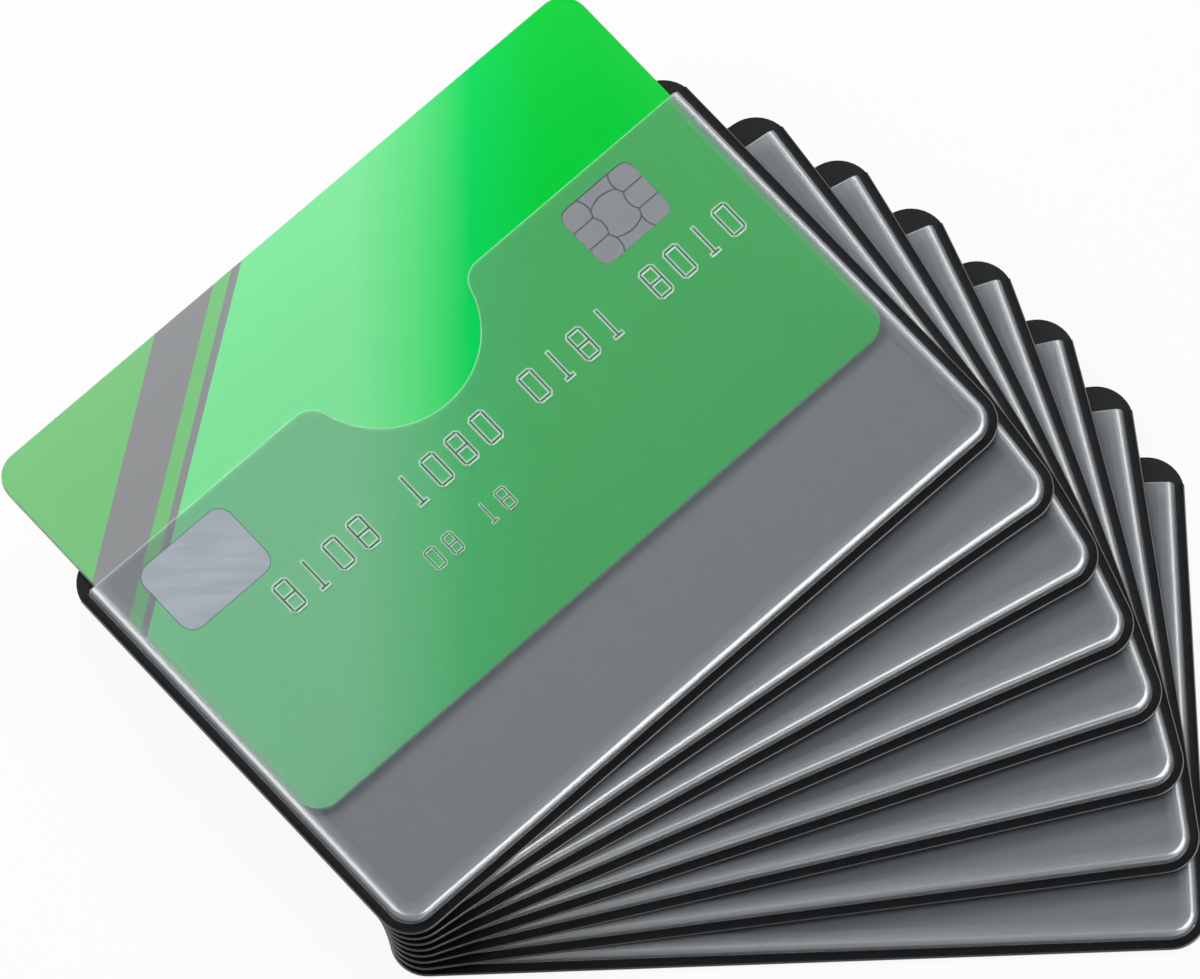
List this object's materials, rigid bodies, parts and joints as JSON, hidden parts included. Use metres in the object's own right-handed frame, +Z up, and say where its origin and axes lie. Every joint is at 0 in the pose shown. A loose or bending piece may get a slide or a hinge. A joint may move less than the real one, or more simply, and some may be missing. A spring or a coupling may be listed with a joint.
{
  "type": "rfid card sleeve set",
  "caption": "Fan of flat shielded card sleeves with black backs, satin front films and thumb notches, turning about one corner, with a green bank card sliding in the top pocket.",
  "frame": {"origin": "middle of the bottom sleeve's underside, the face that the set rests on", "axes": "+X along the bottom sleeve's long side away from the fan's corner, +Y along its short side towards the pocket mouth, +Z up"},
  "size_m": [0.131, 0.1097, 0.0128],
  "materials": {
    "black_panel": "black satin vinyl",
    "shield_foil": "plain foil",
    "grey_lining": "grey satin vinyl",
    "satin_film": "satin see-through film",
    "card_print": "laminated print",
    "chip_metal": "satin contact plate",
    "chip_resin": "cast resin",
    "magnetic_stripe": "magnetic coating",
    "patch_foil": "plain foil patch"
  },
  "bodies": {
    "sleeve_1": {"sleeve_1_back_panel": "black_panel", "sleeve_1_shield_foil": "shield_foil", "sleeve_1_pocket_lining": "grey_lining", "sleeve_1_front_film": "satin_film"},
    "sleeve_2": {"sleeve_2_back_panel": "black_panel", "sleeve_2_shield_foil": "shield_foil", "sleeve_2_pocket_lining": "grey_lining", "sleeve_2_front_film": "satin_film"},
    "sleeve_3": {"sleeve_3_back_panel": "black_panel", "sleeve_3_shield_foil": "shield_foil", "sleeve_3_pocket_lining": "grey_lining", "sleeve_3_front_film": "satin_film"},
    "sleeve_4": {"sleeve_4_back_panel": "black_panel", "sleeve_4_shield_foil": "shield_foil", "sleeve_4_pocket_lining": "grey_lining", "sleeve_4_front_film": "satin_film"},
    "sleeve_5": {"sleeve_5_back_panel": "black_panel", "sleeve_5_shield_foil": "shield_foil", "sleeve_5_pocket_lining": "grey_lining", "sleeve_5_front_film": "satin_film"},
    "sleeve_6": {"sleeve_6_back_panel": "black_panel", "sleeve_6_shield_foil": "shield_foil", "sleeve_6_pocket_lining": "grey_lining", "sleeve_6_front_film": "satin_film"},
    "sleeve_7": {"sleeve_7_back_panel": "black_panel", "sleeve_7_shield_foil": "shield_foil", "sleeve_7_pocket_lining": "grey_lining", "sleeve_7_front_film": "satin_film"},
    "sleeve_8": {"sleeve_8_back_panel": "black_panel", "sleeve_8_shield_foil": "shield_foil", "sleeve_8_pocket_lining": "grey_lining", "sleeve_8_front_film": "satin_film"},
    "card": {"card_body": "card_print", "card_chip_contacts": "chip_metal", "card_chip_resin": "chip_resin", "card_magnetic_stripe": "magnetic_stripe", "card_foil_patch": "patch_foil"}
  },
  "joints": [
    {"name": "sleeve_2_fan", "type": "hinge", "parent": "sleeve_1", "child": "sleeve_2", "pos_m": [-0.0437, -0.0259, 0.0016], "axis": [0, 0, 1], "range_deg": [-5.6, 9.4]},
    {"name": "sleeve_3_fan", "type": "hinge", "parent": "sleeve_2", "child": "sleeve_3", "pos_m": [-0.0437, -0.0259, 0.0032], "axis": [0, 0, 1], "range_deg": [-5.7, 9.3]},
    {"name": "sleeve_4_fan", "type": "hinge", "parent": "sleeve_3", "child": "sleeve_4", "pos_m": [-0.0437, -0.0259, 0.0048], "axis": [0, 0, 1], "range_deg": [-5.4, 9.6]},
    {"name": "sleeve_5_fan", "type": "hinge", "parent": "sleeve_4", "child": "sleeve_5", "pos_m": [-0.0437, -0.0259, 0.0064], "axis": [0, 0, 1], "range_deg": [-5.4, 9.6]},
    {"name": "sleeve_6_fan", "type": "hinge", "parent": "sleeve_5", "child": "sleeve_6", "pos_m": [-0.0437, -0.0259, 0.008], "axis": [0, 0, 1], "range_deg": [-5.6, 9.4]},
    {"name": "sleeve_7_fan", "type": "hinge", "parent": "sleeve_6", "child": "sleeve_7", "pos_m": [-0.0437, -0.0259, 0.0096], "axis": [0, 0, 1], "range_deg": [-5.95, 9.05]},
    {"name": "sleeve_8_fan", "type": "hinge", "parent": "sleeve_7", "child": "sleeve_8", "pos_m": [-0.0437, -0.0259, 0.0112], "axis": [0, 0, 1], "range_deg": [-6.45, 8.55]},
    {"name": "card_slide", "type": "slide", "parent": "sleeve_8", "child": "card", "axis": [-0.6441, 0.7649, 0], "range_m": [-0.0156, 0.041]}
  ]
}
